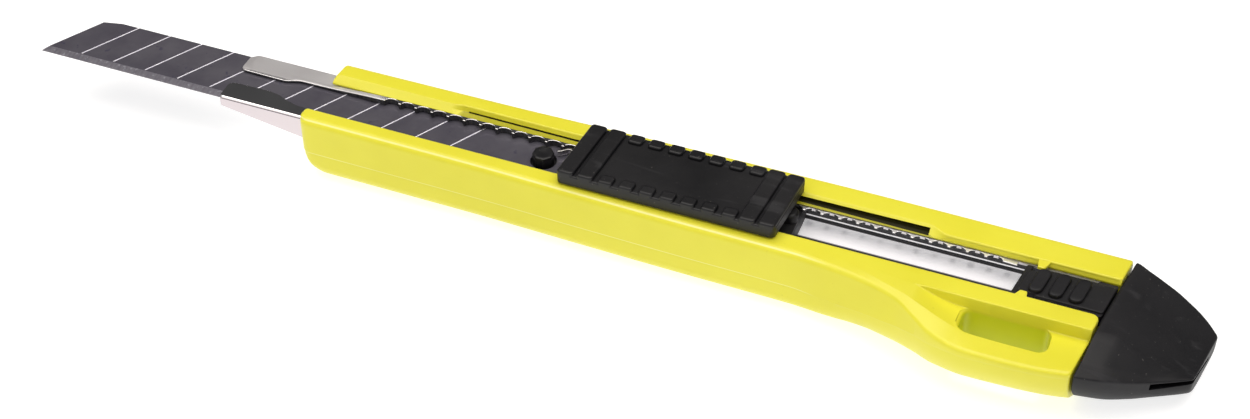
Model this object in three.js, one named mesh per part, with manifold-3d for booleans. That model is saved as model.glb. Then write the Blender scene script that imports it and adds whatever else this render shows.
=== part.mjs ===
// Snap-off utility knife with a 9 mm blade, modelled in millimetres with +Z up.
// Working frame: the blade points along -X, its top face is z = 0 and the handle's middle is y = 0.
// The blade's back, or spine, is on the +Y side and its cutting edge on the -Y side.
// The last group moves the knife so that the origin is under the middle of its bounding box.
import * as THREE from 'three';
import { mergeVertices } from 'three/addons/utils/BufferGeometryUtils.js';
import Module from 'manifold-3d';

const wasm = await Module();
wasm.setup();

// ---- driving dimensions -------------------------------------------------------------------
const BLADE_WIDTH = 9;
const BLADE_THICK = 0.38;
const BLADE_TIP_X = -5.2;
const BLADE_TAIL_X = 73.6;
const BLADE_Y = 0.05;
const SEGMENT_PITCH = 5;
const SEGMENT_ANGLE = THREE.MathUtils.degToRad(60);
const SCORE_LINES = 12;
const SCORE_WIDTH = 0.22;
const SCORE_DEPTH = 0.12;
const BEVEL_WIDTH = 1.3;

const STUD_X = 68.4;
const STUD_Y = -0.75;
const STUD_RADIUS = 1.45;
const STUD_TOP = 1.4;
const STUD_HOLE_RADIUS = 1.75;

const RAIL_FRONT_X = 22.9;
const RAIL_REAR_X = 140.6;
const RAIL_HALF_WIDTH = 5.0;
const RAIL_SHEET = 0.35;
const RAIL_TOP = 0.45;
const RAIL_BOTTOM = -3.45;
const NOSE_END_X = 37;
const NOSE_TIP_BOTTOM = -1.15;
const NOTCH_PITCH = 2.35;
const NOTCH_FIRST_X = 45.4;
const NOTCH_COUNT = 36;
const NOTCH_TIP_Y = 2.1;
const NOTCH_DEPTH = 0.6;
const LATCH_BAY_X = 130.4;

const HANDLE_FRONT_X = 35.5;
const HANDLE_FRONT_SLANT = 0.09;
const HANDLE_TOP = 1.6;
const HANDLE_BOTTOM = -8.5;
const HANDLE_FAR_Y = 7.45;
const HANDLE_CORNER = 1.5;
const HANDLE_FRONT_SWEEP = 3.4;
const HANDLE_TOP_EDGE = 0.9;
const HANDLE_LOW_EDGE = 2.8;
const END_CUT_X = 142.6;
const END_SLANT = 0.165;

const BELLY_NEAR_Y = -14.2;
const BELLY_START_X = 104;
const BELLY_EDGE = 0.8;
const WALL_STEP_Y = -6.8;

const POCKET_HALF_WIDTH = 5.35;
const POCKET_TOP = 0.65;
const POCKET_BOTTOM = -3.75;
const OPENING_NEAR_Y = -3.95;
const LEDGE_TOP = 0.95;
const LEDGE_Y = 2.65;
const REBATE_Y = 4.15;
const REBATE_FRONT_X = 57;
const REBATE_REAR_X = 119;
const SLOT_FRONT_X = 126.2;
const SLOT_REAR_X = 137.4;
const SLOT_NEAR_Y = -10.95;
const SLOT_FAR_Y = -6.85;
const SLOT_CORNER = 1.2;
const TOOTH_FRONT_X = 132.9;
const TOOTH_LENGTH = 0.9;

const PAD_FRONT_X = 72.8;
const PAD_REAR_X = 102;
const PAD_SLANT = 0.09;
const PAD_NEAR_Y = -5.95;
const PAD_FAR_Y = 4.3;
const PAD_BOTTOM = HANDLE_TOP + 0.25;
const PAD_FLOOR = 3.35;
const PAD_TOP = 3.95;
const PAD_BAR = 2.2;
const PAD_SQUARE = 1.75;
const PAD_SQUARE_DEPTH = 1.5;
const PAD_PITCH = 2.75;
const PAD_SQUARES = 7;
const WING_FRONT_X = 88.3;
const WING_REAR_X = 90.8;

const CARRIER_FRONT_X = 66.4;
const CARRIER_REAR_X = 102.7;
const CARRIER_HALF_WIDTH = 4.4;
const CARRIER_BOTTOM = -2.8;
const CARRIER_DECK = -0.65;
const CARRIER_TOP = -0.15;

const SPRING_ROOT_X = 82;
const SPRING_NOSE_X = NOTCH_FIRST_X + 11 * NOTCH_PITCH;
const SPRING_SHEET = 0.3;
const SPRING_LOW = 0.15;
const SPRING_HIGH = 0.95;

const CAP_REAR_X = 155.6;
const CAP_GAP = 0.3;
const CAP_TOP_FRONT = 1.1;
const CAP_TOP_REAR = -4.7;
const CAP_BOTTOM_REAR = -7.1;
const SNAP_SLOT_FRONT_X = 149.6;
const SNAP_SLOT_HEIGHT = 0.9;
const SNAP_SLOT_Z = -5.0;
const TONGUE_FRONT_X = 131.7;
const TONGUE_TOP = 1.0;
const TONGUE_BOTTOM = -0.9;
const TONGUE_ROOT_X = 142.2;
const RIB_TOP = 1.55;

// ---- materials ----------------------------------------------------------------------------
const plastic = (color, roughness) => new THREE.MeshStandardMaterial({ color, roughness, metalness: 0 });
const steel = (color, roughness) => new THREE.MeshStandardMaterial({ color, roughness, metalness: 1 });
const YELLOW = plastic(0xe9dc35, 0.38);
const BLACK = plastic(0x26252a, 0.45);
const RAIL_STEEL = steel(0xb9b8ba, 0.22);
const BLADE_STEEL = steel(0x67626f, 0.35);
const SPRING_STEEL = steel(0x9a9c98, 0.3);

// ---- solids -------------------------------------------------------------------------------
function toManifold(geometry) {
  const bare = geometry.clone();
  bare.deleteAttribute('normal');
  bare.deleteAttribute('uv');
  const merged = mergeVertices(bare, 1e-4);
  const mesh = new wasm.Mesh({
    numProp: 3,
    vertProperties: new Float32Array(merged.attributes.position.array),
    triVerts: new Uint32Array(merged.index.array),
  });
  return new wasm.Manifold(mesh);
}

function toMesh(name, solid, material) {
  const data = solid.getMesh();
  const geometry = new THREE.BufferGeometry();
  geometry.setAttribute('position', new THREE.BufferAttribute(new Float32Array(data.vertProperties), 3));
  geometry.setIndex(new THREE.BufferAttribute(new Uint32Array(data.triVerts), 1));
  geometry.computeVertexNormals();
  const mesh = new THREE.Mesh(geometry, material);
  mesh.name = name;
  return mesh;
}

const unite = (solids) => solids.reduce((sum, solid) => sum.add(solid));
const cutAll = (solid, cutters) => cutters.reduce((rest, cutter) => rest.subtract(cutter), solid);

// A straight solid with the given outline. Outlines hold (x, y) for axis z, (y, z) for x, (x, z) for y.
function prism(outline, axis, from, to) {
  const shape = Array.isArray(outline) ? new THREE.Shape(outline.map(([u, v]) => new THREE.Vector2(u, v))) : outline;
  const options = { depth: to - from, bevelEnabled: false, curveSegments: 6 };
  const geometry = new THREE.ExtrudeGeometry(shape, options);
  const [ex, ey, ez] = [new THREE.Vector3(1, 0, 0), new THREE.Vector3(0, 1, 0), new THREE.Vector3(0, 0, 1)];
  const frames = {
    x: new THREE.Matrix4().makeBasis(ey, ez, ex).setPosition(from, 0, 0),
    y: new THREE.Matrix4().makeBasis(ex, ez, ey.clone().negate()).setPosition(0, to, 0),
    z: new THREE.Matrix4().makeBasis(ex, ey, ez).setPosition(0, 0, from),
  };
  return toManifold(geometry.applyMatrix4(frames[axis]));
}

const block = (x0, x1, y0, y1, z0, z1) => prism([[x0, y0], [x1, y0], [x1, y1], [x0, y1]], 'z', z0, z1);

function roundedRectangle(u0, v0, u1, v1, r) {
  const shape = new THREE.Shape();
  shape.moveTo(u0 + r, v0);
  shape.lineTo(u1 - r, v0);
  shape.absarc(u1 - r, v0 + r, r, -Math.PI / 2, 0);
  shape.lineTo(u1, v1 - r);
  shape.absarc(u1 - r, v1 - r, r, 0, Math.PI / 2);
  shape.lineTo(u0 + r, v1);
  shape.absarc(u0 + r, v1 - r, r, Math.PI / 2, Math.PI);
  shape.lineTo(u0, v0 + r);
  shape.absarc(u0 + r, v0 + r, r, Math.PI, Math.PI * 1.5);
  return shape;
}

// The pad and the rear parts follow the handle's slanted ends, so their outlines are turned in plan.
const slanted = (points, slant = END_SLANT) => points.map(([x, y]) => [x + slant * y, y]);
const slantedBlock = (x0, x1, y0, y1, z0, z1, slant = END_SLANT) => (
  prism(slanted([[x0, y0], [x1, y0], [x1, y1], [x0, y1]], slant), 'z', z0, z1)
);
const slantedRounded = (x0, y0, x1, y1, r, slant = END_SLANT) => (
  slanted(roundedRectangle(x0, y0, x1, y1, r).getPoints(5).slice(0, -1).map(({ x, y }) => [x, y]), slant)
);

const disc = (x, y, r) => new THREE.Shape().absarc(x, y, r, 0, Math.PI * 2);

// A closed body through cross-sections, each {x, slant, loop}, with the loops anticlockwise seen from +X.
// A section's slant turns it in plan, by that much X for each Y.
function loft(sections) {
  const count = sections[0].loop.length;
  const positions = sections.flatMap(({ x, slant = 0, loop }) => loop.flatMap(([y, z]) => [x + slant * y, y, z]));
  const index = [];
  for (let i = 0; i < sections.length - 1; i += 1) {
    for (let j = 0; j < count; j += 1) {
      const a = i * count + j;
      const b = i * count + ((j + 1) % count);
      index.push(a, b, a + count, b, b + count, a + count);
    }
  }
  const capEnd = (start, flip) => {
    const loop = sections[start / count].loop.map(([y, z]) => new THREE.Vector2(y, z));
    THREE.ShapeUtils.triangulateShape(loop, []).forEach(([a, b, c]) => {
      index.push(start + a, start + (flip ? c : b), start + (flip ? b : c));
    });
  };
  capEnd(0, true);
  capEnd((sections.length - 1) * count, false);
  const geometry = new THREE.BufferGeometry();
  geometry.setAttribute('position', new THREE.Float32BufferAttribute(positions, 3));
  geometry.setIndex(index);
  return toManifold(geometry);
}

function arc(y, z, ry, rz, startDeg, endDeg, steps) {
  return Array.from({ length: steps + 1 }, (unused, i) => {
    const angle = THREE.MathUtils.degToRad(startDeg + ((endDeg - startDeg) * i) / steps);
    return [y + ry * Math.cos(angle), z + rz * Math.sin(angle)];
  });
}

// A box section with its own radius at each long edge. The low near edge can sweep wider than it is high.
function boxLoop({ near, far, bottom, top, lowNear, lowNearSweep = lowNear, lowFar, topNear, topFar }) {
  return [
    ...arc(far - lowFar, bottom + lowFar, lowFar, lowFar, -90, 0, 5),
    ...arc(far - topFar, top - topFar, topFar, topFar, 0, 90, 4),
    ...arc(near + topNear, top - topNear, topNear, topNear, 90, 180, 4),
    ...arc(near + lowNearSweep, bottom + lowNear, lowNearSweep, lowNear, 180, 270, 7),
  ];
}

// How far a quarter-round of radius r falls back at distance d from its end face.
const fallBack = (d, r) => (d >= r ? 0 : r - Math.sqrt(r * r - (r - d) * (r - d)));

// A smooth line through (x, value) knots.
function through(knots) {
  const curve = new THREE.SplineCurve(knots.map(([x, v]) => new THREE.Vector2(x, v)));
  return (x) => {
    let low = 0;
    let high = 1;
    for (let i = 0; i < 30; i += 1) {
      const middle = (low + high) / 2;
      if (curve.getPoint(middle).x < x) low = middle;
      else high = middle;
    }
    return curve.getPoint(low).y;
  };
}

const range = (from, to, step) => {
  const count = Math.max(1, Math.round((to - from) / step));
  return Array.from({ length: count + 1 }, (unused, i) => from + ((to - from) * i) / count);
};

// ---- handle -------------------------------------------------------------------------------
const handleFarY = through([[36, 6.55], [60, 6.7], [85, 7.2], [110, HANDLE_FAR_Y], [130, 7.3], [150, 7.15]]);
const handleNearY = through([
  [36, -6.55], [60, -6.7], [75, -7.05], [90, -7.35], [106, -7.4], [116, -7.1], [124, WALL_STEP_Y], [150, WALL_STEP_Y],
]);
const bellyNearY = through([
  [104, -7.1], [109, -8.25], [114, -9.2], [118, -10.6], [121, -12.0], [124, -13.4],
  [128, BELLY_NEAR_Y], [133, -14.0], [137, -13.7], [144, -12.2], [150, -10.2],
]);
const bellyTopZ = through([[104, 1.5], [113, 1.45], [118, 1.1], [122, 0.5], [127, 0.0], [134, -0.2], [150, -0.25]]);
const bellyLowEdge = through([[104, 2.8], [110, 3.3], [116, 5.0], [122, 6.6], [128, 7.3], [150, 7.2]]);
const bellySweep = through([[104, 2.8], [110, 3.8], [116, 7.0], [122, 10.9], [128, 12.2], [150, 11.6]]);

function handleCore() {
  const front = range(0, HANDLE_FRONT_SWEEP, HANDLE_FRONT_SWEEP / 5).map((d) => HANDLE_FRONT_X + d);
  const stations = [...front, ...range(HANDLE_FRONT_X + 8, 148, 8)];
  return loft(stations.map((x) => {
    const d = x - HANDLE_FRONT_X;
    const pinch = fallBack(d, HANDLE_CORNER);
    return {
      x,
      slant: d < HANDLE_FRONT_SWEEP + 0.1 ? HANDLE_FRONT_SLANT : 0,
      loop: boxLoop({
        near: handleNearY(x) + pinch,
        far: handleFarY(x) - pinch,
        bottom: HANDLE_BOTTOM + fallBack(d, HANDLE_FRONT_SWEEP),
        top: HANDLE_TOP - fallBack(d, 0.6),
        lowNear: HANDLE_LOW_EDGE,
        lowFar: HANDLE_LOW_EDGE,
        topNear: x < BELLY_START_X ? HANDLE_TOP_EDGE : 0.3,
        topFar: HANDLE_TOP_EDGE,
      }),
    };
  }));
}

function handleBelly() {
  return loft(range(BELLY_START_X, 148, 3).map((x) => ({
    x,
    loop: boxLoop({
      near: bellyNearY(x),
      far: 3,
      bottom: HANDLE_BOTTOM,
      top: bellyTopZ(x),
      lowNear: Math.min(bellyLowEdge(x), bellyTopZ(x) - HANDLE_BOTTOM - BELLY_EDGE - 0.2),
      lowNearSweep: bellySweep(x),
      lowFar: 0.5,
      topNear: BELLY_EDGE,
      topFar: 0.3,
    }),
  })));
}

// Everything behind the slanted rear face of the handle.
function behindHandle(gap) {
  const edgeX = (y) => END_CUT_X + gap + END_SLANT * y;
  return prism([[edgeX(-20), -20], [170, -20], [170, 20], [edgeX(20), 20]], 'z', -20, 20);
}

function handleCutters() {
  const pocket = block(30, 150, -POCKET_HALF_WIDTH, POCKET_HALF_WIDTH, POCKET_BOTTOM, POCKET_TOP);
  const mouth = block(30, 150, OPENING_NEAR_Y, LEDGE_Y, POCKET_TOP - 1, 5);
  const rebate = prism([
    [REBATE_FRONT_X - 2, LEDGE_Y - 1], [REBATE_REAR_X + 2.2, LEDGE_Y - 1],
    [REBATE_REAR_X + 2.2, LEDGE_Y], [REBATE_REAR_X, REBATE_Y],
    [REBATE_FRONT_X, REBATE_Y], [REBATE_FRONT_X - 2, REBATE_Y - 0.6],
  ], 'z', LEDGE_TOP, 5);
  const shadowGroove = block(REBATE_FRONT_X, REBATE_REAR_X, LEDGE_Y, REBATE_Y + 0.45, LEDGE_TOP, LEDGE_TOP + 0.22);
  const frontSlope = prism([
    [LEDGE_Y - 0.5, POCKET_TOP], [LEDGE_Y, POCKET_TOP + 0.1], [REBATE_Y - 0.3, HANDLE_TOP],
    [REBATE_Y - 0.3, 5], [LEDGE_Y - 0.5, 5],
  ], 'x', 30, REBATE_FRONT_X);
  const hangingSlot = prism(
    roundedRectangle(SLOT_FRONT_X, SLOT_NEAR_Y, SLOT_REAR_X, SLOT_FAR_Y, SLOT_CORNER), 'z', -12, 5,
  );
  const lowerHollow = block(62, 150, -4.4, 4.4, -7.1, -4.9);
  return [pocket, mouth, rebate, shadowGroove, frontSlope, hangingSlot, lowerHollow];
}

function latchTeeth() {
  const rear = TOOTH_FRONT_X + TOOTH_LENGTH;
  const nearTooth = [
    [TOOTH_FRONT_X - 0.5, OPENING_NEAR_Y - 0.3], [rear + 0.3, OPENING_NEAR_Y - 0.3],
    [rear, OPENING_NEAR_Y + 0.8], [TOOTH_FRONT_X, OPENING_NEAR_Y + 0.8],
  ];
  const farTooth = [
    [TOOTH_FRONT_X, LEDGE_Y - 1.2], [rear, LEDGE_Y - 1.2],
    [rear + 0.3, LEDGE_Y + 0.3], [TOOTH_FRONT_X - 0.5, LEDGE_Y + 0.3],
  ];
  return [nearTooth, farTooth].map((outline) => prism(slanted(outline), 'z', 1.2, HANDLE_TOP - 0.05));
}

function handleBody() {
  const outside = handleCore().add(handleBelly()).subtract(behindHandle(0));
  return unite([cutAll(outside, handleCutters()), ...latchTeeth()]);
}

// ---- blade rail ---------------------------------------------------------------------------
// Plan outline of the long gap between the two lips, with a notch in the far edge at every click.
function lipGapOutline() {
  const shape = new THREE.Shape();
  shape.moveTo(RAIL_FRONT_X - 2, -1.7);
  shape.lineTo(28.2, -1.5);
  shape.bezierCurveTo(30.5, -1.6, 31, -2.7, 34, -2.95);
  shape.lineTo(LATCH_BAY_X, -2.95);
  shape.lineTo(LATCH_BAY_X, -3.85);
  shape.lineTo(RAIL_REAR_X + 2, -3.85);
  shape.lineTo(RAIL_REAR_X + 2, NOTCH_TIP_Y + 0.4);
  shape.lineTo(NOTCH_FIRST_X + (NOTCH_COUNT - 0.5) * NOTCH_PITCH, NOTCH_TIP_Y + 0.4);
  for (let i = NOTCH_COUNT - 1; i >= 0; i -= 1) {
    const middle = NOTCH_FIRST_X + i * NOTCH_PITCH;
    const half = NOTCH_PITCH * 0.42;
    shape.lineTo(middle + half, NOTCH_TIP_Y);
    shape.lineTo(middle + half * 0.55, NOTCH_TIP_Y + NOTCH_DEPTH * 0.8);
    shape.lineTo(middle, NOTCH_TIP_Y + NOTCH_DEPTH);
    shape.lineTo(middle - half * 0.55, NOTCH_TIP_Y + NOTCH_DEPTH * 0.8);
    shape.lineTo(middle - half, NOTCH_TIP_Y);
  }
  shape.lineTo(31.6, NOTCH_TIP_Y - 0.1);
  shape.lineTo(29.8, 1.2);
  shape.lineTo(RAIL_FRONT_X - 2, 1.2);
  return shape;
}

function railNoseCutter() {
  return prism([
    [RAIL_FRONT_X - 1, NOSE_TIP_BOTTOM + 0.16], [NOSE_END_X, RAIL_BOTTOM],
    [NOSE_END_X, -10], [RAIL_FRONT_X - 1, -10],
  ], 'y', -10, 10);
}

function railNoseFloor() {
  const inside = RAIL_HALF_WIDTH - RAIL_SHEET / 2;
  return prism([
    [RAIL_FRONT_X, NOSE_TIP_BOTTOM], [NOSE_END_X, RAIL_BOTTOM],
    [NOSE_END_X, RAIL_BOTTOM + RAIL_SHEET], [RAIL_FRONT_X, NOSE_TIP_BOTTOM + RAIL_SHEET],
  ], 'y', -inside, inside);
}

function bladeRail() {
  const w = RAIL_HALF_WIDTH;
  const outer = prism(roundedRectangle(-w, RAIL_BOTTOM, w, RAIL_TOP, 0.45), 'x', RAIL_FRONT_X, RAIL_REAR_X);
  const inner = block(
    RAIL_FRONT_X - 1, RAIL_REAR_X + 1, -w + RAIL_SHEET, w - RAIL_SHEET,
    RAIL_BOTTOM + RAIL_SHEET, RAIL_TOP - RAIL_SHEET,
  );
  const frontCorner = prism(
    [[RAIL_FRONT_X - 1, w - 1.2], [RAIL_FRONT_X + 1, w + 0.8], [RAIL_FRONT_X - 1, w + 0.8]], 'z', -5, 2,
  );
  const lipGap = prism(lipGapOutline(), 'z', RAIL_TOP - RAIL_SHEET - 0.1, RAIL_TOP + 1);
  const channel = cutAll(outer, [inner, lipGap, frontCorner, railNoseCutter()]);
  return channel.add(railNoseFloor());
}

// ---- snap-off blade -----------------------------------------------------------------------
// The score lines lean back from the spine to the cutting edge.
const scoreLean = (y) => (y - BLADE_WIDTH / 2) / Math.tan(SEGMENT_ANGLE);

function snapOffBlade() {
  const half = BLADE_WIDTH / 2;
  const outline = [
    [BLADE_TIP_X, -half], [BLADE_TAIL_X - 1, -half], [BLADE_TAIL_X, -half + 1], [BLADE_TAIL_X, half - 1],
    [BLADE_TAIL_X - 1, half], [1.5, half], [-0.3, half - 0.7],
  ];
  const strip = prism(outline, 'z', -BLADE_THICK, 0);
  const bevelTop = prism([[-half - 0.1, 0.1], [-half - 0.1, -0.15], [-half + BEVEL_WIDTH, 0], [-half + BEVEL_WIDTH, 0.1]],
    'x', BLADE_TIP_X - 1, BLADE_TAIL_X + 1);
  const bevelLow = prism([
    [-half - 0.1, -BLADE_THICK - 0.1], [-half + BEVEL_WIDTH, -BLADE_THICK - 0.1],
    [-half + BEVEL_WIDTH, -BLADE_THICK], [-half - 0.1, -BLADE_THICK + 0.15],
  ], 'x', BLADE_TIP_X - 1, BLADE_TAIL_X + 1);
  const scores = Array.from({ length: SCORE_LINES }, (unused, i) => {
    const x = i * SEGMENT_PITCH + SEGMENT_PITCH;
    const low = -half + BEVEL_WIDTH;
    const w = SCORE_WIDTH / 2;
    return prism([
      [x + scoreLean(low) - w, low], [x + scoreLean(low) + w, low], [x + w, half + 0.1], [x - w, half + 0.1],
    ], 'z', -SCORE_DEPTH, 1);
  });
  const hole = prism(disc(STUD_X, STUD_Y - BLADE_Y, STUD_HOLE_RADIUS), 'z', -2, 2);
  return cutAll(strip, [bevelTop, bevelLow, hole, ...scores]).translate([0, BLADE_Y, 0]);
}

// ---- thumb slider -------------------------------------------------------------------------
function padGrips() {
  const grip = (x0, x1, y0, y1, top) => slantedBlock(x0, x1, y0, y1, PAD_FLOOR - 0.1, top, PAD_SLANT);
  const bar = (x) => grip(x, x + PAD_BAR, PAD_NEAR_Y + 0.1, PAD_FAR_Y - 0.1, PAD_TOP);
  const bars = [
    PAD_FRONT_X + 0.1, PAD_FRONT_X + PAD_PITCH, PAD_REAR_X - PAD_BAR - PAD_PITCH + 0.1, PAD_REAR_X - PAD_BAR - 0.1,
  ].map(bar);
  const squares = Array.from({ length: PAD_SQUARES }, (unused, i) => {
    const x = PAD_FRONT_X + (i + 2) * PAD_PITCH + 0.2;
    return [PAD_NEAR_Y + 0.1, PAD_FAR_Y - 0.1 - PAD_SQUARE_DEPTH].map(
      (y) => grip(x, x + PAD_SQUARE, y, y + PAD_SQUARE_DEPTH, PAD_TOP - 0.1),
    );
  });
  return [...bars, ...squares.flat()];
}

function thumbSlider() {
  const outline = slantedRounded(PAD_FRONT_X, PAD_NEAR_Y, PAD_REAR_X, PAD_FAR_Y, 0.5, PAD_SLANT);
  const pad = prism(outline, 'z', PAD_BOTTOM, PAD_FLOOR);
  const stem = block(83.5, 99, -2.4, 0.2, CARRIER_TOP + 0.3, PAD_BOTTOM + 0.1);
  const wing = block(WING_FRONT_X, WING_REAR_X, LEDGE_Y + 0.3, REBATE_Y - 0.3, LEDGE_TOP + 0.25, PAD_BOTTOM + 0.1);
  return unite([pad, stem, wing, ...padGrips()]);
}

// ---- blade carrier ------------------------------------------------------------------------
function bladeCarrier() {
  const w = CARRIER_HALF_WIDTH;
  const shoe = prism([
    [CARRIER_FRONT_X, CARRIER_DECK], [CARRIER_FRONT_X, CARRIER_BOTTOM + 0.75], [CARRIER_FRONT_X + 5, CARRIER_BOTTOM],
    [CARRIER_REAR_X, CARRIER_BOTTOM], [CARRIER_REAR_X, CARRIER_DECK],
  ], 'y', -w, w);
  const back = block(BLADE_TAIL_X + 0.5, CARRIER_REAR_X, -w, w, CARRIER_DECK - 0.1, CARRIER_TOP);
  const stud = prism(disc(STUD_X, STUD_Y, STUD_RADIUS), 'z', CARRIER_DECK - 0.1, STUD_TOP);
  const rearLug = prism(disc(101.5, 0.6, 1.15), 'z', CARRIER_TOP - 0.1, 1.2);
  const springPost = block(SPRING_ROOT_X + 0.3, SPRING_ROOT_X + 2, 0.5, 1.8, CARRIER_TOP - 0.1, 1.2);
  return unite([shoe, back, stud, rearLug, springPost]);
}

// ---- detent spring ------------------------------------------------------------------------
// A strip on edge: it runs forward from its root and its rounded nose faces the notched lip.
function detentSpring() {
  const x = SPRING_NOSE_X;
  const s = SPRING_SHEET;
  const nearSide = [[SPRING_ROOT_X, 1.0], [x + 1.6, 0.7], [x + 0.4, 1.4], [x, 1.55], [x - 0.4, 1.4], [x - 1.3, 0.5]];
  const farSide = nearSide.map(([px, py], i) => [px - (i > 3 ? s * 0.6 : 0), py + s]).reverse();
  return prism([...nearSide, ...farSide], 'z', SPRING_LOW, SPRING_HIGH);
}

// ---- end cap ------------------------------------------------------------------------------
const capTopZ = through([[140, 1.35], [144, CAP_TOP_FRONT], [146, 0.1], [150, -2.0], [156, CAP_TOP_REAR]]);
const capBottomZ = through([[140, -8.5], [144, -8.45], [150, -7.9], [156, CAP_BOTTOM_REAR]]);
const capFarY = through([[140, 7.2], [145, 7.3], [149, 7.0], [152.3, 6.1], [154, 5.2], [155.6, 3.9]]);
const capNearY = through([[140, -13.2], [144, -12.0], [147, -10.3], [150, -8.3], [153, -6.3], [155.6, -4.4]]);
const capRidgeY = through([[140, -7.0], [146, -6.9], [150, -6.4], [153.4, -4.4], [155.6, -3.6]]);
const capFlangeZ = through([[140, -0.6], [144, -1.5], [148, -3.0], [153.5, -4.6], [156, -5.0]]);
const capSweep = through([[140, 10], [144, 8.4], [150, 6], [154, 4.4], [156, 3.8]]);

function capLoop(x) {
  const [near, far, bottom, top] = [capNearY(x), capFarY(x), capBottomZ(x), capTopZ(x)];
  const lowNear = capFlangeZ(x) - bottom - 0.4;
  const topFar = Math.min(0.6, (top - bottom) * 0.3);
  return [
    ...arc(far - 1.2, bottom + 1.2, 1.2, 1.2, -90, 0, 4),
    ...arc(far - topFar, top - topFar, topFar, topFar, 0, 90, 3),
    [capRidgeY(x), top],
    ...arc(near + 0.4, capFlangeZ(x) - 0.3, 0.4, 0.3, 100, 180, 3).slice(0, -1),
    ...arc(near + capSweep(x), bottom + lowNear, capSweep(x), lowNear, 180, 270, 6),
  ];
}

// Everything behind the slanted rear end of the cap.
function behindCap() {
  const edgeX = (y) => CAP_REAR_X + END_SLANT * (y - 3.4);
  return prism([[edgeX(-20), -20], [170, -20], [170, 3.4], [CAP_REAR_X, 3.4]], 'z', -20, 20);
}

function capPlug() {
  return block(136.5, 144.5, -4.1, 4.1, -6.8, -5.2);
}

function endCap() {
  const sections = [...range(139, 154, 1.5), CAP_REAR_X].map((x) => ({ x, loop: capLoop(x) }));
  const outside = loft(sections);
  const keepBehindHandle = outside.intersect(behindHandle(CAP_GAP)).subtract(behindCap());
  const snapSlot = block(SNAP_SLOT_FRONT_X, 160, -20, 20, SNAP_SLOT_Z - SNAP_SLOT_HEIGHT, SNAP_SLOT_Z);
  const tongueSeat = slantedBlock(140, TONGUE_ROOT_X + CAP_GAP, -3.3, 2.2, TONGUE_BOTTOM - 0.4, 3);
  return keepBehindHandle.add(capPlug()).subtract(snapSlot).subtract(tongueSeat);
}

// ---- latch tongue -------------------------------------------------------------------------
function latchTongue() {
  const neckNear = -2.75;
  const neckFar = 1.2;
  const x = TONGUE_FRONT_X;
  const head = prism(slanted([
    [x, -3.2], [x + 0.4, -3.5], [x + 0.9, -3.5], [x + 0.9, 2.2], [x + 0.4, 2.2], [x, 1.9],
  ]), 'z', TONGUE_BOTTOM, TONGUE_TOP - 0.1);
  const neckEnd = TOOTH_FRONT_X + TOOTH_LENGTH + 0.4;
  const neck = slantedBlock(x + 0.5, neckEnd, neckNear, neckFar, TONGUE_BOTTOM, TONGUE_TOP);
  const plate = slantedBlock(neckEnd - 0.1, TONGUE_ROOT_X, -3.0, 1.9, TONGUE_BOTTOM, TONGUE_TOP);
  const ribs = [133.1, 135.6, 138.1].map(
    (front) => prism(slantedRounded(front, -2.2, front + 1.5, 1.1, 0.7), 'z', TONGUE_TOP - 0.1, RIB_TOP),
  );
  return unite([head, neck, plate, ...ribs]);
}

// ---- assembly -----------------------------------------------------------------------------
const knife = new THREE.Group();
knife.add(
  toMesh('handle_body', handleBody(), YELLOW),
  toMesh('blade_rail', bladeRail(), RAIL_STEEL),
  toMesh('snap_off_blade', snapOffBlade(), BLADE_STEEL),
  toMesh('thumb_slider', thumbSlider(), BLACK),
  toMesh('blade_carrier', bladeCarrier(), BLACK),
  toMesh('detent_spring', detentSpring(), SPRING_STEEL),
  toMesh('end_cap', endCap(), BLACK),
  toMesh('latch_tongue', latchTongue(), BLACK),
);
knife.position.set(
  -(BLADE_TIP_X + CAP_REAR_X) / 2,
  -(HANDLE_FAR_Y + BELLY_NEAR_Y) / 2,
  -HANDLE_BOTTOM,
);

const root = new THREE.Group();
root.add(knife);

export default root;
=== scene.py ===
"""Snap-off utility knife: detailed pieces, materials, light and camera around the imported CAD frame.

Shapes are written in millimetres in the knife's own frame: the blade points along -X, its top face
is z = 0 and the middle of the rail is y = 0. KNIFE is where that frame's origin lies in the CAD frame.
"""
import math

import bmesh
import bpy
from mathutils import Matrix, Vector
from mathutils.geometry import tessellate_polygon

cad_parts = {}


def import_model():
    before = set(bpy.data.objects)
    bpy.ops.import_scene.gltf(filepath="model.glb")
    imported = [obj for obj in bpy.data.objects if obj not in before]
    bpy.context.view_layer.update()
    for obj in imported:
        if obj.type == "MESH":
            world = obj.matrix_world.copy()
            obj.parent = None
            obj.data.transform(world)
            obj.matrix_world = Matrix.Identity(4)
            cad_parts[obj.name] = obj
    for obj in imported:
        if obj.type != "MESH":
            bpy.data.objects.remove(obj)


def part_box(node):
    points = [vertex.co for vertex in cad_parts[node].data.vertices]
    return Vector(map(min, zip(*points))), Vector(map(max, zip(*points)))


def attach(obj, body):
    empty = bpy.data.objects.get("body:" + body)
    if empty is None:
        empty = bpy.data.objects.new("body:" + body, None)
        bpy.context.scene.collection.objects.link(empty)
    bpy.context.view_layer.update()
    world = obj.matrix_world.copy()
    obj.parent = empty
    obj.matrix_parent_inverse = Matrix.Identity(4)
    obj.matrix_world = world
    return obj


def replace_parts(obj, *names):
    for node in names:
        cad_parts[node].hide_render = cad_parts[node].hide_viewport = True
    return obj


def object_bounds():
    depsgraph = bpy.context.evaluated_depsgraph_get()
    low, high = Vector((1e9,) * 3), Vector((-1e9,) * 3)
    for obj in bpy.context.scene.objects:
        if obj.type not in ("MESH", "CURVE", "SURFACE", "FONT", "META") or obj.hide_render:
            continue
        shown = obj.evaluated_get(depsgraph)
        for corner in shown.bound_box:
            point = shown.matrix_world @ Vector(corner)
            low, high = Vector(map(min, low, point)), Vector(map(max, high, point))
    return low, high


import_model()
cad_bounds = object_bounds()

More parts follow.
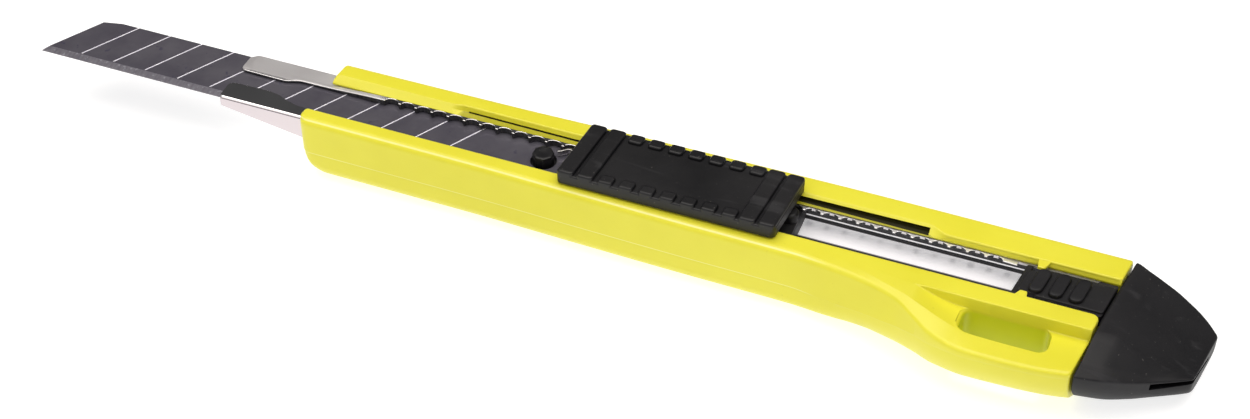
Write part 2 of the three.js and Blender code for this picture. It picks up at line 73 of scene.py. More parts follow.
MM = 0.001
BLADE_LOW, BLADE_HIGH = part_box("snap_off_blade")
RAIL_LOW, RAIL_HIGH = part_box("blade_rail")
HANDLE_LOW, HANDLE_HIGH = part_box("handle_body")
CAP_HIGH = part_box("end_cap")[1]
KNIFE = Vector((BLADE_LOW.x + 5.2 * MM, (RAIL_LOW.y + RAIL_HIGH.y) / 2, BLADE_HIGH.z))


def local(point):
    """A CAD-frame point in the knife's frame, in millimetres."""
    return (point - KNIFE) / MM


# ---- small geometry helpers ---------------------------------------------------------------
def knots(points):
    """A smooth function through (x, value) points that never overshoots (monotone cubic)."""
    xs = [p[0] for p in points]
    ys = [p[1] for p in points]
    n = len(xs)
    slope = [(ys[i + 1] - ys[i]) / (xs[i + 1] - xs[i]) for i in range(n - 1)]
    tangent = [slope[0]] + [
        0 if slope[i - 1] * slope[i] <= 0 else 2 * slope[i - 1] * slope[i] / (slope[i - 1] + slope[i])
        for i in range(1, n - 1)
    ] + [slope[-1]]

    def value(x):
        if x <= xs[0]:
            return ys[0]
        if x >= xs[-1]:
            return ys[-1]
        i = max(j for j in range(n - 1) if xs[j] <= x)
        h = xs[i + 1] - xs[i]
        t = (x - xs[i]) / h
        return (
            (1 + 2 * t) * (1 - t) ** 2 * ys[i] + t * (1 - t) ** 2 * h * tangent[i]
            + t * t * (3 - 2 * t) * ys[i + 1] + t * t * (t - 1) * h * tangent[i + 1]
        )
    return value


def spread(start, end, step):
    count = max(1, round((end - start) / step))
    return [start + (end - start) * i / count for i in range(count + 1)]


def fall_back(distance, radius):
    """How far a quarter-round falls back at a distance from its end."""
    if distance >= radius:
        return 0
    return radius - math.sqrt(max(0, radius ** 2 - (radius - distance) ** 2))


def rounded(corners):
    """A closed loop from corners (u, v, radius, steps), or (u, v, before, after, steps) if uneven."""
    loop = []
    count = len(corners)
    for i, corner in enumerate(corners):
        here = Vector(corner[:2])
        before = Vector(corners[i - 1][:2]) - here
        after = Vector(corners[(i + 1) % count][:2]) - here
        steps = corner[-1]
        if len(corner) == 5:
            cut_before, cut_after, share = corner[2], corner[3], 0.96
        else:
            share = 0.49
            angle = before.angle(after, math.pi)
            cut_before = cut_after = corner[2] / max(0.05, math.tan(angle / 2))
        cut_before = min(cut_before, before.length * share)
        cut_after = min(cut_after, after.length * share)
        first = here + before.normalized() * cut_before if before.length else here
        last = here + after.normalized() * cut_after if after.length else here
        for k in range(steps + 1):
            t = k / steps
            weights = ((1 - t) ** 2, 2 * 0.7071 * t * (1 - t), t ** 2)
            point = (first * weights[0] + here * weights[1] + last * weights[2]) / sum(weights)
            loop.append((point.x, point.y))
    return loop


def inset(loop, amount):
    """The loop (anticlockwise) moved inwards by an amount."""
    if amount <= 0:
        return list(loop)
    count = len(loop)
    moved = []
    for i, (u, v) in enumerate(loop):
        u0, v0 = loop[i - 1]
        u1, v1 = loop[(i + 1) % count]
        du, dv = u1 - u0, v1 - v0
        length = math.hypot(du, dv) or 1
        moved.append((u - dv / length * amount, v + du / length * amount))
    return moved


def shrink(loop, amount):
    """The loop pulled by an amount towards its middle."""
    middle = sum((Vector(p) for p in loop), Vector((0, 0))) / len(loop)
    return [tuple(Vector(p) + (middle - Vector(p)).normalized() * amount) for p in loop]


def new_object(name, mesh, material):
    mesh.materials.append(material)
    obj = bpy.data.objects.new(name, mesh)
    bpy.context.scene.collection.objects.link(obj)
    return obj


def shade(obj, angle=40):
    """Smooth shading, with edges sharper than the angle kept crisp."""
    mesh = obj.data
    mesh.polygons.foreach_set("use_smooth", [True] * len(mesh.polygons))
    bm = bmesh.new()
    bm.from_mesh(mesh)
    limit = math.radians(angle)
    for edge in bm.edges:
        edge.smooth = not (len(edge.link_faces) == 2 and edge.calc_face_angle(0) > limit)
    bm.to_mesh(mesh)
    bm.free()
    return obj


def build(name, rings, material, angle=40):
    """A closed body through rings of (x, y, z), all of one length, in millimetres in the knife's frame."""
    bm = bmesh.new()
    rows = [[bm.verts.new(KNIFE + Vector(p) * MM) for p in ring] for ring in rings]
    for a, b in zip(rows, rows[1:]):
        for i in range(len(a)):
            j = (i + 1) % len(a)
            bm.faces.new((a[i], a[j], b[j], b[i]))
    for row, ring in ((rows[0], rings[0]), (rows[-1], rings[-1])):
        for corners in tessellate_polygon([[Vector(p) for p in ring]]):
            bm.faces.new([row[i] for i in corners])
    bmesh.ops.recalc_face_normals(bm, faces=bm.faces)
    mesh = bpy.data.meshes.new(name)
    bm.to_mesh(mesh)
    bm.free()
    return shade(new_object(name, mesh, material), angle)


def along_x(sections, slant=0.0):
    """Rings from (x, loop of (y, z)) or (x, loop, slant)."""
    rings = []
    for section in sections:
        lean = section[2] if len(section) > 2 else slant
        rings.append([(section[0] + lean * y, y, z) for y, z in section[1]])
    return rings


def rounded_block(
    name, x0, x1, y0, y1, z0, z1, material, plan=0.3, top=0.2, bottom=0.0, slant=0.0, draft=0.0
):
    """A moulded block: rounded corners in plan, rounded top (and bottom) edge, drafted sides."""
    steps = 4
    levels = []
    if bottom > 0:
        levels += [(z0 + bottom * (1 - math.cos(a)), bottom * (1 - math.sin(a)))
                   for a in [math.pi / 2 * k / steps for k in range(steps)]]
    else:
        levels.append((z0, 0))
    levels += [(z1 - top + top * math.sin(a), top * (1 - math.cos(a)))
               for a in [math.pi / 2 * k / steps for k in range(steps + 1)]]
    rings = []
    for z, shrink in levels:
        pull = shrink + draft * (z - z0)
        radius = max(0.02, plan - shrink)
        loop = rounded([(x0 + pull, y0 + pull, radius, 4), (x1 - pull, y0 + pull, radius, 4),
                        (x1 - pull, y1 - pull, radius, 4), (x0 + pull, y1 - pull, radius, 4)])
        rings.append([(x + slant * y, y, z) for x, y in loop])
    return build(name, rings, material)


def prism(name, loop, z0, z1, material):
    return build(name, [[(x, y, z0) for x, y in loop], [(x, y, z1) for x, y in loop]], material)


def boolean(obj, cutter, operation="DIFFERENCE", keep_material=False):
    modifier = obj.modifiers.new("boolean", "BOOLEAN")
    modifier.object = cutter
    modifier.operation = operation
    modifier.solver = "EXACT"
    if keep_material:
        modifier.material_mode = "TRANSFER"
    apply_modifiers(obj)
    mesh = cutter.data
    bpy.data.objects.remove(cutter)
    bpy.data.meshes.remove(mesh)
    return obj


def apply_modifiers(obj):
    depsgraph = bpy.context.evaluated_depsgraph_get()
    mesh = bpy.data.meshes.new_from_object(obj.evaluated_get(depsgraph))
    old = obj.data
    obj.modifiers.clear()
    obj.data = mesh
    bpy.data.meshes.remove(old)


def soften(obj, width, segments=2, angle=40):
    """Rounds every edge sharper than the angle."""
    modifier = obj.modifiers.new("bevel", "BEVEL")
    modifier.width = width * MM
    modifier.segments = segments
    modifier.limit_method = "ANGLE"
    modifier.angle_limit = math.radians(angle)
    modifier.use_clamp_overlap = True
    apply_modifiers(obj)
    return shade(obj, 50)


def join(name, objects):
    """One object from several closed bodies."""
    bm = bmesh.new()
    materials = []
    for obj in objects:
        part = bmesh.new()
        part.from_mesh(obj.data)
        indices = []
        for material in obj.data.materials:
            if material not in materials:
                materials.append(material)
            indices.append(materials.index(material))
        for face in part.faces:
            face.material_index = indices[face.material_index]
        temporary = bpy.data.meshes.new("join")
        part.to_mesh(temporary)
        part.free()
        bm.from_mesh(temporary)
        bpy.data.meshes.remove(temporary)
    mesh = bpy.data.meshes.new(name)
    bm.to_mesh(mesh)
    bm.free()
    for obj in objects:
        old = obj.data
        bpy.data.objects.remove(obj)
        bpy.data.meshes.remove(old)
    for material in materials:
        mesh.materials.append(material)
    obj = bpy.data.objects.new(name, mesh)
    bpy.context.scene.collection.objects.link(obj)
    return obj


def finish(obj, group, node, angle=35):
    """Even shading on flat faces, then the piece rides with its group and stands in for the CAD node."""
    shade(obj, angle)
    modifier = obj.modifiers.new("normals", "WEIGHTED_NORMAL")
    modifier.weight = 80
    modifier.keep_sharp = True
    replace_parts(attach(obj, group), node)


# ---- materials ----------------------------------------------------------------------------
class Nodes:
    """Short calls for building one material's node tree."""

    def __init__(self, name):
        self.material = bpy.data.materials.new(name)
        self.material.use_nodes = True
        self.tree = self.material.node_tree
        self.shader = self.tree.nodes["Principled BSDF"]
        self.place = self.tree.nodes.new("ShaderNodeTexCoord").outputs["Object"]

    def add(self, kind, inputs=None, **settings):
        node = self.tree.nodes.new(kind)
        for key, value in settings.items():
            setattr(node, key, value)
        for key, value in (inputs or {}).items():
            if isinstance(value, bpy.types.NodeSocket):
                self.tree.links.new(value, node.inputs[key])
            else:
                node.inputs[key].default_value = value
        return node

    def scaled(self, scale):
        return self.add("ShaderNodeMapping", {"Vector": self.place, "Scale": scale}).outputs["Vector"]

    def noise(self, scale, detail=4.0, roughness=0.5, stretch=None, distortion=0.0):
        vector = self.scaled(stretch) if stretch else self.place
        node = self.add("ShaderNodeTexNoise", {
            "Vector": vector, "Scale": scale, "Detail": detail, "Roughness": roughness,
            "Distortion": distortion,
        })
        return node.outputs["Fac"]

    def position(self):
        split = self.add("ShaderNodeSeparateXYZ", {"Vector": self.place}).outputs
        return split["X"], split["Y"], split["Z"]

    def ramp(self, value, low, high, low_out=0.0, high_out=1.0):
        node = self.add("ShaderNodeMapRange", {
            "Value": value, "From Min": low, "From Max": high, "To Min": low_out, "To Max": high_out,
        })
        return node.outputs["Result"]

    def within(self, value, low, high, soft):
        """One between two levels, falling to zero over a soft border."""
        return self.math("MULTIPLY", self.ramp(value, low - soft, low), self.ramp(value, high + soft, high))

    def math(self, operation, a, b):
        return self.add("ShaderNodeMath", {0: a, 1: b}, operation=operation).outputs[0]

    def mix(self, factor, a, b):
        node = self.add("ShaderNodeMix", data_type="RGBA")
        for key, value in ((0, factor), (6, a), (7, b)):
            if isinstance(value, bpy.types.NodeSocket):
                self.tree.links.new(value, node.inputs[key])
            else:
                node.inputs[key].default_value = value
        return node.outputs[2]

    def bump(self, height, strength, distance, normal=None):
        inputs = {"Height": height, "Strength": strength, "Distance": distance}
        if normal:
            inputs["Normal"] = normal
        return self.add("ShaderNodeBump", inputs).outputs["Normal"]

    def set(self, **inputs):
        for key, value in inputs.items():
            socket = self.shader.inputs[key.replace("_", " ")]
            if isinstance(value, bpy.types.NodeSocket):
                self.tree.links.new(value, socket)
            else:
                socket.default_value = value
        return self.material


def moulded_yellow(name, dark, light):
    n = Nodes(name)
    cloud = n.noise(60, 3)
    speck = n.ramp(n.noise(2600, 2), 0.70, 0.78)
    colour = n.mix(n.ramp(cloud, 0.35, 0.65), dark, light)
    colour = n.mix(n.math("MULTIPLY", speck, 0.12), colour, tuple(0.4 * v for v in dark))
    x, y, z = n.position()
    # Painted shade: the ledge strip below the far wall's inner edge is darkened to an olive tone.
    ledge = n.math("MULTIPLY", n.within(y, 0.0059, 0.0071, 0.00004), n.within(z, 0.0090, 0.0093, 0.00004))
    ledge = n.math("MULTIPLY", ledge, n.within(x, -0.0200, 0.0438, 0.0010))
    colour = n.mix(ledge, colour, tuple(0.56 * v for v in dark))
    # Painted shade: inside the hanging slot the yellow is darker and greener.
    slot = n.math("MULTIPLY", n.within(y, -0.0079, -0.0033, 0.0002), n.within(z, 0.0008, 0.0078, 0.0005))
    slot = n.math("MULTIPLY", slot, n.within(x, 0.0500, 0.0630, 0.0002))
    colour = n.mix(slot, colour, (0.93 * dark[0], 1.04 * dark[1], 0.3 * dark[2], 1))
    # Painted highlight: a pale line along the crease low on the near side.
    crease_highlight = n.math("MULTIPLY", n.within(z, 0.00448, 0.00462, 0.00004), n.within(x, -0.039, 0.0305, 0.002))
    # Painted highlight: a pale line along the rounding of the near top edge.
    rim_highlight = n.math("MULTIPLY", n.within(z, 0.00990, 0.00998, 0.00005), n.within(x, -0.0385, 0.030, 0.004))
    rim_highlight = n.math("MULTIPLY", rim_highlight, n.ramp(y, -0.0022, -0.0024))
    edge = n.math("MAXIMUM", n.math("MULTIPLY", crease_highlight, n.ramp(y, 0.0, -0.001)), n.math("MULTIPLY", rim_highlight, 0.7))
    # Both painted highlight lines are mixed in here as a pale yellow.
    colour = n.mix(
        n.math("MULTIPLY", edge, n.ramp(cloud, 0.2, 0.5, 0.5, 0.9)), colour, (0.97, 0.95, 0.42, 1)
    )
    grain = n.noise(1500, 3)
    peel = n.noise(180, 2)
    rough = n.ramp(n.noise(300, 4, stretch=(0.3, 1, 1)), 0.3, 0.7, 0.30, 0.42)
    normal = n.bump(peel, 0.10, 0.0002, n.bump(grain, 0.10, 0.00003))
    return n.set(
        Base_Color=colour, Roughness=rough, Normal=normal, IOR=1.49,
        Subsurface_Weight=0.04, Subsurface_Radius=(0.004, 0.003, 0.0006), Subsurface_Scale=0.3,
    )


def moulded_black(name, base, low, high, gloss):
    n = Nodes(name)
    cloud = n.noise(90, 4)
    scuff = n.ramp(n.noise(700, 5, stretch=(0.15, 1, 1), distortion=0.6), 0.60, 0.72)
    dust = n.ramp(n.noise(3000, 1), 0.74, 0.80)
    colour = n.mix(
        n.ramp(cloud, 0.3, 0.7), (base, base, base * 1.2, 1), (base * 1.7, base * 1.65, base * 1.9, 1)
    )
    colour = n.mix(n.math("MULTIPLY", scuff, 0.10), colour, (0.12, 0.12, 0.13, 1))
    colour = n.mix(n.math("MULTIPLY", dust, 0.25), colour, (0.25, 0.24, 0.22, 1))
    rough = n.math("ADD", n.ramp(cloud, 0.3, 0.7, low, high), n.math("MULTIPLY", scuff, 0.12))
    normal = n.bump(n.noise(1800, 3), 0.25, 0.00004, n.bump(n.noise(250, 2), 0.12, 0.0002))
    return n.set(Base_Color=colour, Roughness=rough, Normal=normal, IOR=1.5, Specular_IOR_Level=gloss)


def rolled_steel():
    n = Nodes("rolled_steel")
    x, y, z = n.position()
    nose = n.ramp(x, -0.0322, -0.0292, 1, 0)
    rear = n.ramp(x, 0.0248, 0.031)
    satin = n.math("MULTIPLY", n.ramp(y, 0.0045, 0.0050), n.math("MAXIMUM", nose, rear))
    streak = n.noise(900, 3, stretch=(0.03, 1, 1))
    smudge = n.noise(120, 3)
    colour = n.mix(n.ramp(smudge, 0.3, 0.7), (0.74, 0.72, 0.73, 1), (0.84, 0.83, 0.84, 1))
    # Painted shade: the near outer flank is tinted darker and pinkish, dimming its reflection of the floor.
    flank_shade = n.ramp(y, RAIL_LOW.y + 0.0003, RAIL_LOW.y + 0.0001)
    colour = n.mix(flank_shade, colour, (0.64, 0.58, 0.60, 1))
    # Painted light: inside the channel the steel is matt, near white and glowing, standing in for the light
    # it reflects.
    inside = n.math("MULTIPLY", n.ramp(z, 0.0086, 0.0082), n.ramp(z, 0.00515, 0.0053))
    inside = n.math("MULTIPLY", inside, n.within(y, RAIL_LOW.y + 0.0002, RAIL_HIGH.y - 0.0002, 0.00005))
    # Painted reflection: grey spots at the notch pitch along the channel floor mirror the scalloped lip.
    scallop_reflection = n.math(
        "MULTIPLY", n.math("COSINE", n.math("MULTIPLY", x, math.tau / 0.00235), 0),
        n.ramp(smudge, 0.3, 0.6, 0.5, 1)
    )
    scallop_reflection = n.math(
        "MULTIPLY", n.ramp(scallop_reflection, 0.1, 0.7),
        n.math("MULTIPLY", n.ramp(y, 0.0062, 0.0067), n.ramp(y, 0.0076, 0.0072))
    )
    floor_reflection = n.mix(n.math("MULTIPLY", scallop_reflection, 0.45), (0.95, 0.94, 0.96, 1), (0.42, 0.42, 0.43, 1))
    # Painted shade: near-black bands in the channel, one low on the far wall and one along the floor.
    channel_shade = n.math(
        "MULTIPLY", n.ramp(y, 0.0076, 0.0078),
        n.ramp(n.math("ABSOLUTE", n.math("SUBTRACT", z, 0.00585), 0), 0.00008, 0.00014)
    )
    channel_shade = n.math("MAXIMUM", channel_shade, n.within(y, 0.0031, 0.0043, 0.0003))
    # tone holds the channel's painted reflection and painted shade; it also colours the glow.
    tone = n.mix(channel_shade, floor_reflection, (0.02, 0.02, 0.022, 1))
    colour = n.mix(inside, colour, tone)
    rough = n.math("ADD", n.ramp(streak, 0.3, 0.7, 0.03, 0.06), n.ramp(smudge, 0.5, 0.75, 0.0, 0.04))
    rough = n.math("ADD", rough, n.math("MULTIPLY", n.math("MAXIMUM", satin, inside), 0.25))
    matt = n.math("MAXIMUM", n.math("MULTIPLY", satin, 0.4), n.math("MULTIPLY", inside, 0.9))
    # The painted light of the channel glows through the emission here.
    return n.set(
        Base_Color=colour, Roughness=rough, Metallic=n.math("SUBTRACT", 1.0, matt),
        Normal=n.bump(streak, 0.04, 0.00001), Emission_Color=tone,
        Emission_Strength=n.math("MULTIPLY", inside, 0.30),
    )


def shaded_cut_edge():
    # Painted shade: near-black steel for the lips' cut edges, standing in for the dark band of shade along
    # the lips.
    n = Nodes("shaded_cut_edge")
    tear = n.noise(3000, 3, stretch=(1, 1, 0.3))
    colour = n.mix(n.ramp(tear, 0.3, 0.7), (0.03, 0.03, 0.035, 1), (0.09, 0.088, 0.095, 1))
    return n.set(
        Base_Color=colour, Roughness=n.ramp(tear, 0.3, 0.7, 0.35, 0.55), Metallic=0.6,
        Normal=n.bump(tear, 0.1, 0.00001),
    )


def oiled_blade():
    n = Nodes("oiled_blade")
    cloud = n.noise(160, 5, 0.6)
    spot = n.ramp(n.noise(900, 3), 0.66, 0.74)
    brush = n.noise(1400, 3, stretch=(1, 0.05, 1))
    colour = n.mix(n.ramp(cloud, 0.35, 0.65), (0.135, 0.127, 0.160, 1), (0.175, 0.167, 0.198, 1))
    colour = n.mix(n.math("MULTIPLY", spot, 0.5), colour, (0.06, 0.055, 0.12, 1))
    rough = n.math("ADD", n.ramp(cloud, 0.3, 0.7, 0.12, 0.22), n.math("MULTIPLY", brush, 0.04))
    normal = n.bump(brush, 0.05, 0.00001)
    return n.set(Base_Color=colour, Roughness=rough, Normal=normal, Metallic=0.5)


def ground_edge():
    n = Nodes("ground_edge")
    grind = n.noise(2600, 2, stretch=(1, 0.2, 1))
    nick = n.ramp(n.noise(1800, 2), 0.62, 0.70)
    colour = n.mix(n.ramp(grind, 0.3, 0.7), (0.10, 0.095, 0.12, 1), (0.16, 0.155, 0.18, 1))
    colour = n.mix(n.math("MULTIPLY", nick, 0.35), colour, (0.45, 0.45, 0.5, 1))
    return n.set(
        Base_Color=colour, Roughness=n.ramp(grind, 0.3, 0.7, 0.35, 0.5), Metallic=0.35,
        Normal=n.bump(grind, 0.06, 0.00001),
    )


def scored_line():
    n = Nodes("scored_line")
    shine = n.noise(1500, 2)
    colour = n.mix(n.ramp(shine, 0.3, 0.7), (0.84, 0.82, 0.92, 1), (0.96, 0.95, 1.0, 1))
    return n.set(Base_Color=colour, Roughness=n.ramp(shine, 0.3, 0.7, 0.3, 0.5), Metallic=0.1)


def spring_strip():
    n = Nodes("spring_strip")
    streak = n.noise(1200, 3, stretch=(0.05, 1, 1))
    colour = n.mix(n.ramp(streak, 0.3, 0.7), (0.42, 0.41, 0.40, 1), (0.62, 0.61, 0.59, 1))
    return n.set(
        Base_Color=colour, Roughness=n.ramp(streak, 0.3, 0.7, 0.18, 0.32), Metallic=1.0,
        Normal=n.bump(streak, 0.1, 0.00002),
    )


YELLOW = moulded_yellow("moulded_yellow", (0.78, 0.725, 0.034, 1), (0.84, 0.785, 0.048, 1))
# Painted shade: a near-black yellow for the faces cut by the far wall's groove, standing in for the shade
# in the undercut.
GROOVE_SHADE = moulded_yellow("painted_groove_shade", (0.035, 0.032, 0.006, 1), (0.06, 0.055, 0.01, 1))
PAD_BLACK = moulded_black("pad_black", 0.006, 0.34, 0.48, 0.36)
CAP_BLACK = moulded_black("cap_black", 0.008, 0.46, 0.6, 0.3)
RAIL_STEEL = rolled_steel()
RAIL_CUT_SHADE = shaded_cut_edge()
BLADE_STEEL = oiled_blade()
EDGE_STEEL = ground_edge()
SCORE = scored_line()
SPRING_STEEL = spring_strip()

# ---- handle -------------------------------------------------------------------------------
TOP, BOTTOM = 1.6, local(HANDLE_LOW).z
FRONT_X, FRONT_LEAN, FRONT_SWEEP = 35.95, 0.085, 3.4
END_X, END_LEAN = 142.6, 0.165
FAR_LIMIT, NEAR_LIMIT = local(HANDLE_HIGH).y, local(HANDLE_LOW).y
MOUTH_NEAR, LEDGE_IN = -3.95, 2.62
CREASE = 0.11
POCKET = 5.35

far_side = knots([(36, 6.55), (60, 6.7), (85, 7.2), (110, FAR_LIMIT), (130, 7.3), (150, 7.15)])
side_line = knots([
    (36, -6.55), (60, -6.7), (75, -7.05), (90, -7.35), (104, -7.5), (109, -8.25), (114, -9.2), (118, -10.6),
    (121, -12.0), (124, -13.4), (128, NEAR_LIMIT), (133, -14.05), (137, -13.75), (144, -12.2), (150, -10.2),
])
top_line = knots([
    (36, -6.55), (60, -6.7), (75, -7.05), (90, -7.35), (104, -7.45), (110, -7.9), (114, -8.5), (118, -9.6),
    (120.5, -11.2), (123, -12.9), (126, -14.0), (128, NEAR_LIMIT + 0.05), (133, -14.0), (137, -13.7),
    (144, -12.15), (150, -10.1),
])
top_level = knots([
    (106, TOP), (112, 1.5), (117, 1.15), (121, 0.65), (125, 0.15), (129, -0.05), (137, -0.2), (150, -0.25)
])
side_level = knots([
    (36, -3.9), (106, -3.9), (112, -3.6), (116, -3.0), (122, -1.5), (128, -1.0), (150, -1.1)
])
low_side = knots([(36, 0.15), (150, 0.1)])
sweep_up = knots([(36, 2.6), (104, 2.6), (110, 3.3), (116, 5.0), (122, 6.6), (128, 7.2), (150, 7.1)])
sweep_in = knots([(36, 2.6), (104, 2.6), (110, 3.8), (116, 7.0), (122, 10.9), (128, 12.2), (150, 11.6)])
wall_out = knots([(36, -5.2), (104, -5.4), (114, -6.2), (120, -6.85), (150, -6.85)])
floor_level = knots([
    (36, TOP), (119.8, TOP), (120.8, 1.25), (122.2, 0.7), (124, 0.2), (126, -0.1), (128, -0.2), (150, -0.3),
])
ridge_y = knots([
    (36, -5.8), (104, -6.2), (112, -7.0), (116, -7.9), (119, -8.9), (121.5, -9.8), (124.5, -10.8),
    (128, -11.3), (150, -11.3),
])
ridge_level = knots([
    (36, TOP), (108, TOP), (118.6, 1.5), (121, 1.25), (124.4, 0.75), (126.5, 0.3), (128.5, 0.0),
    (137, -0.2), (150, -0.28),
])
edge_round = knots([(36, 0.95), (104, 0.95), (112, 0.8), (120, 0.7), (150, 0.7)])


def far_wall(x):
    """The far wall's inner edge: top edge y, ledge outer corner (y, z) and ledge inner z."""
    slope = (3.75, (3.2, 1.25), 0.9)
    rebate = (3.95, (3.75 - 0.0148 * (x - 55), 0.74), 0.74)
    rear = (2.82, (2.78, 1.25), 0.9)
    if x < 90:
        t = min(1, max(0, (x - 53.6) / 1.5))
        a, b = slope, rebate
    else:
        t = min(1, max(0, (x - 119.0) / 2.2))
        a, b = rebate, rear
    t = t * t * (3 - 2 * t) * 0.3 + t * 0.7
    blend = lambda u, v: u + (v - u) * t
    return blend(a[0], b[0]), (blend(a[1][0], b[1][0]), blend(a[1][1], b[1][1])), blend(a[2], b[2])


def handle_section(x, lean):
    front = x - FRONT_X
    rear = END_X - x
    outer_x, shelf_x, wall_x = x + lean * side_line(x), x - lean * 9, x - lean * 6.9
    pinch = fall_back(front, 1.5) + fall_back(rear, 0.35)
    far_pinch = fall_back(front, 0.25) + fall_back(rear, 0.35)
    top = TOP - fall_back(front, 0.35) - fall_back(rear, 0.25)
    bottom = BOTTOM + fall_back(front, FRONT_SWEEP) + fall_back(rear, 0.3)
    drop = min(0.0, top - TOP)
    inner = MOUTH_NEAR - fall_back(front, 0.6) - fall_back(rear, 1.1)
    far_top, (ledge_y, ledge_z), ledge_in = far_wall(x + lean * 3)
    far_top += fall_back(front, 0.3) + fall_back(rear, 0.5)
    far = far_side(x) - far_pinch
    low_far = far - 0.35
    side = side_line(outer_x) + pinch
    corner_top = top_line(outer_x) + pinch
    shelf = min(1, max(0, (x - 106) / 10))
    wall = inner + (corner_top - inner) * 0.18
    wall += (max(wall_out(wall_x), corner_top + 0.75) - wall) * shelf
    ridge = wall + (corner_top - wall) * 0.12
    ridge += (max(min(ridge_y(shelf_x), wall - 0.25), corner_top + 0.45) - ridge) * shelf
    floor = floor_level(wall_x) + drop
    outer = top_level(outer_x) + drop
    level = side_level(outer_x)
    low_near = side + low_side(outer_x)
    return rounded([
        (inner, top, 0.35, 4), (wall, top, 0.16, 3), (wall - 0.08, floor, 0.2, 3),
        (ridge, ridge_level(shelf_x) + drop, 0.25, 3),
        (
            corner_top, outer, edge_round(outer_x), 5
        ), (side, level, 0.04, 1), (side + CREASE, level - 0.1, 0.04, 1),
        (low_near, bottom, sweep_up(outer_x), sweep_in(outer_x), 9), (low_far, bottom, 2.8, 7),
        (far - CREASE, -4.0, 0.04, 1), (far, -3.9, 0.04, 1),
        (far, top, 0.95, 5), (far_top, top, 0.25, 4), (ledge_y, ledge_z, 0.15, 3), (
            LEDGE_IN, ledge_in, 0.1, 3
        ),
        (LEDGE_IN, 0.65, 0.05, 2), (POCKET, 0.65, 0.2, 2), (POCKET, -3.75, 0.4, 2),
        (-POCKET, -3.75, 0.4, 2), (-POCKET, 0.65, 0.2, 2), (inner, 0.65, 0.05, 2),
    ][::-1])


def handle_shell():
    front = [FRONT_X + d for d in (0, 0.03, 0.12, 0.28, 0.5, 0.8, 1.15, 1.6, 2.2, 2.8, 3.4)]
    steps = front + spread(40, 53, 1.3) + spread(53.6, 58.4, 0.3)
    steps += spread(60, 104, 2.2) + spread(105, 117, 0.75)
    steps += spread(117.5, 130, 0.25) + spread(131, 141, 0.8) + [END_X - d for d in (
        1.1, 0.8, 0.5, 0.3, 0.15, 0.05, 0
    )]
    lean = knots([
        (FRONT_X, FRONT_LEAN), (FRONT_X + 4, FRONT_LEAN), (60, 0), (120, 0), (138, END_LEAN),
        (150, END_LEAN)
    ])
    sections = [(x, handle_section(x, lean(x)), lean(x)) for x in steps]
    return build("handle_shell", along_x(sections), YELLOW)


def hanging_slot_cutter():
    rings = []
    x0, x1, y0, y1, corner = 126.2, 137.0, -10.9, -6.95, 1.15
    for z, flare in (
        (-12, 0), (-0.75, 0), (-0.6, 0.02), (-0.45, 0.06), (-0.32, 0.13), (-0.2, 0.24), (-0.1, 0.4),
        (0.3, 0.5)
    ):
        radius = corner + flare
        rings.append([(x, y, z) for x, y in rounded([
            (x0 - flare, y0 - flare * 0.6, radius, 8), (x1 + flare * 0.5, y0 - flare * 0.6, radius, 8),
            (x1 + flare * 0.5, y1, corner, 8), (x0 - flare, y1, corner, 8),
        ])])
    return build("slot_cutter", rings, YELLOW)


def tooth(x0, near):
    """A small moulded tooth on one wall, with slanted flanks."""
    root, tip = (MOUTH_NEAR - 0.4, MOUTH_NEAR + 0.8) if near else (LEDGE_IN + 0.4, LEDGE_IN - 1.15)
    loop = [(x0 - 0.45, root), (x0 + 1.25, root), (x0 + 0.9, tip), (x0, tip)]
    if not near:
        loop = loop[::-1]
    rings = []
    for z, pull in ((1.15, 0.0), (1.4, 0.0), (1.5, 0.03), (1.55, 0.1), (1.56, 0.2)):
        pulled = inset(rounded([(x, y, 0.22, 3) for x, y in loop]), pull)
        rings.append([(x + END_LEAN * y, y, z) for x, y in pulled])
    return build("tooth", rings, YELLOW)


shell = handle_shell()
boolean(shell, hanging_slot_cutter())
hollow = along_x([(
    x, rounded([(-4.4, -7.1, 0.4, 3), (4.4, -7.1, 0.4, 3), (4.4, -4.9, 0.4, 3), (-4.4, -4.9, 0.4, 3)])
)
                  for x in (62, 150)])
boolean(shell, build("hollow", hollow, YELLOW))
# The groove's cut faces take on the painted shade yellow.
groove = along_x([(x, [(2.0, 0.75), (5.3, 0.75), (5.3, high), (2.0, high)])
                  for x, high in ((55.8, 0.92), (75, 0.97), (92, 1.18), (118.9, 1.36))])
boolean(shell, build("groove", groove, GROOVE_SHADE), keep_material=True)
handle_piece = join("handle_shell", [shell, tooth(132.4, True), tooth(132.7, False)])
finish(handle_piece, "handle", "handle_body", 30)

# ---- blade rail ---------------------------------------------------------------------------
RAIL_FRONT, RAIL_REAR = local(RAIL_LOW).x, local(RAIL_HIGH).x
RAIL_TOP, RAIL_FLOOR = local(RAIL_HIGH).z, local(RAIL_LOW).z
SHEET = 0.33
NOTCH_PITCH, NOTCH_FIRST, NOTCH_COUNT = 2.35, 45.4, 36
NOTCH_TIP, NOTCH_DEPTH = 1.76, 0.64
LATCH_BAY = 130.4

near_lip_line = knots([
    (22, -1.65), (28.4, -1.5), (30.2, -1.75), (32, -2.45), (34.2, -2.92), (36, -2.95), (160, -2.95)
])
far_lip_line = knots([
    (22, 1.25), (29.6, 1.15), (30.6, 1.5), (31.8, 1.87), (33, 1.9), (40, 1.86), (45, NOTCH_TIP),
    (76, NOTCH_TIP), (92, 1.9), (160, 1.9)
])


lip_rise = knots([
    (22, 0.02), (34, 0.02), (46, 0.54), (76, 0.54), (92, 0.14), (128, 0.14), (130.3, 0.02), (160, 0.02)
])


def near_lip(x):
    if x > LATCH_BAY:
        return -3.85
    return near_lip_line(x) - fall_back(x - RAIL_FRONT, 0.8)


